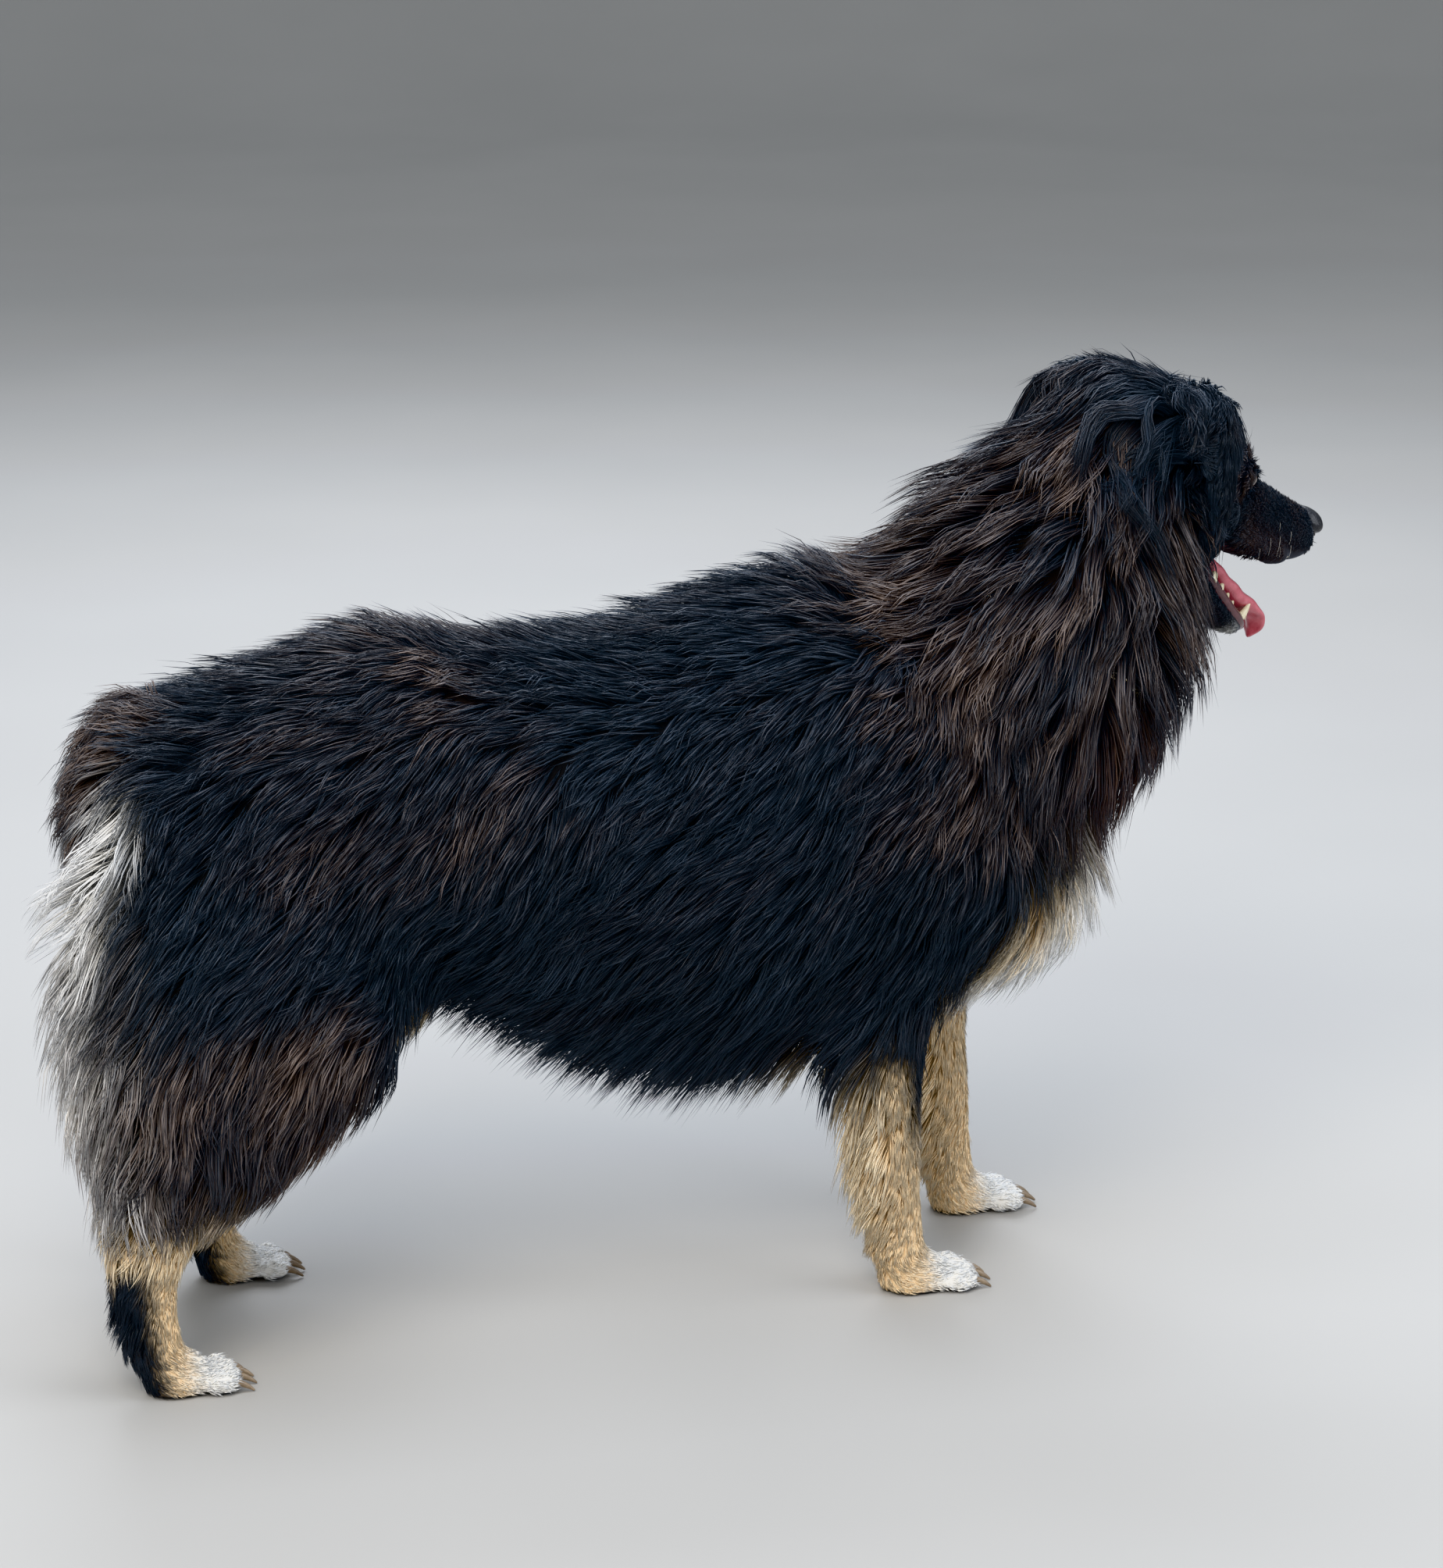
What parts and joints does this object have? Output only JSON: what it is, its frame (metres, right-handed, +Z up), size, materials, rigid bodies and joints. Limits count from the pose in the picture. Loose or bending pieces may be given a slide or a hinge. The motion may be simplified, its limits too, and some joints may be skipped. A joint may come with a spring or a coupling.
{
  "type": "dog",
  "caption": "Life-size long-coated shepherd dog with a bobbed tail, standing with its head turned and its mouth open, in a fine chain collar.",
  "frame": {"origin": "middle of the underside of the whole dog's box, on the ground between its feet", "axes": "+X along the body towards the chest and head, +Y to the dog's left, +Z up"},
  "size_m": [1.0878, 0.324, 0.7286],
  "materials": {
    "black_coat": "long wavy coat, black with a blue-grey sheen and sun-browned ends",
    "tan_coat": "shorter tan coat of the legs with pale feathering",
    "pale_coat": "short off-white coat of the feet",
    "nose_leather": "moist black pebbled leather",
    "eye_brown": "dark brown glossy eye",
    "tongue_pink": "wet pink, finely papillate",
    "tooth_ivory": "ivory enamel",
    "claw_horn": "dark horn, satin",
    "steel_chain": "fine bright chain"
  },
  "bodies": {
    "root": {"trunk": "black_coat", "neck": "black_coat", "head": "black_coat", "nose": "nose_leather", "eye_left": "eye_brown", "eye_right": "eye_brown", "ear_left": "black_coat", "ear_right": "black_coat", "jaw": "black_coat", "tongue": "tongue_pink", "collar": "steel_chain", "teeth_lower_front": "tooth_ivory", "tooth_lower_left": "tooth_ivory", "teeth_lower_left": "tooth_ivory", "tooth_lower_right": "tooth_ivory", "teeth_lower_right": "tooth_ivory", "teeth_upper_front": "tooth_ivory", "tooth_upper_left": "tooth_ivory", "tooth_upper_right": "tooth_ivory", "tail": "black_coat", "foreleg_left": "tan_coat", "thigh_left": "black_coat", "hock_left": "tan_coat", "fore_paw_left": "pale_coat", "hind_paw_left": "pale_coat", "fore_claw_left_1": "claw_horn", "hind_claw_left_1": "claw_horn", "fore_claw_left_2": "claw_horn", "hind_claw_left_2": "claw_horn", "fore_claw_left_3": "claw_horn", "hind_claw_left_3": "claw_horn", "fore_claw_left_4": "claw_horn", "hind_claw_left_4": "claw_horn", "foreleg_right": "tan_coat", "thigh_right": "black_coat", "hock_right": "tan_coat", "fore_paw_right": "pale_coat", "hind_paw_right": "pale_coat", "fore_claw_right_1": "claw_horn", "hind_claw_right_1": "claw_horn", "fore_claw_right_2": "claw_horn", "hind_claw_right_2": "claw_horn", "fore_claw_right_3": "claw_horn", "hind_claw_right_3": "claw_horn", "fore_claw_right_4": "claw_horn", "hind_claw_right_4": "claw_horn"}
  },
  "joints": []
}
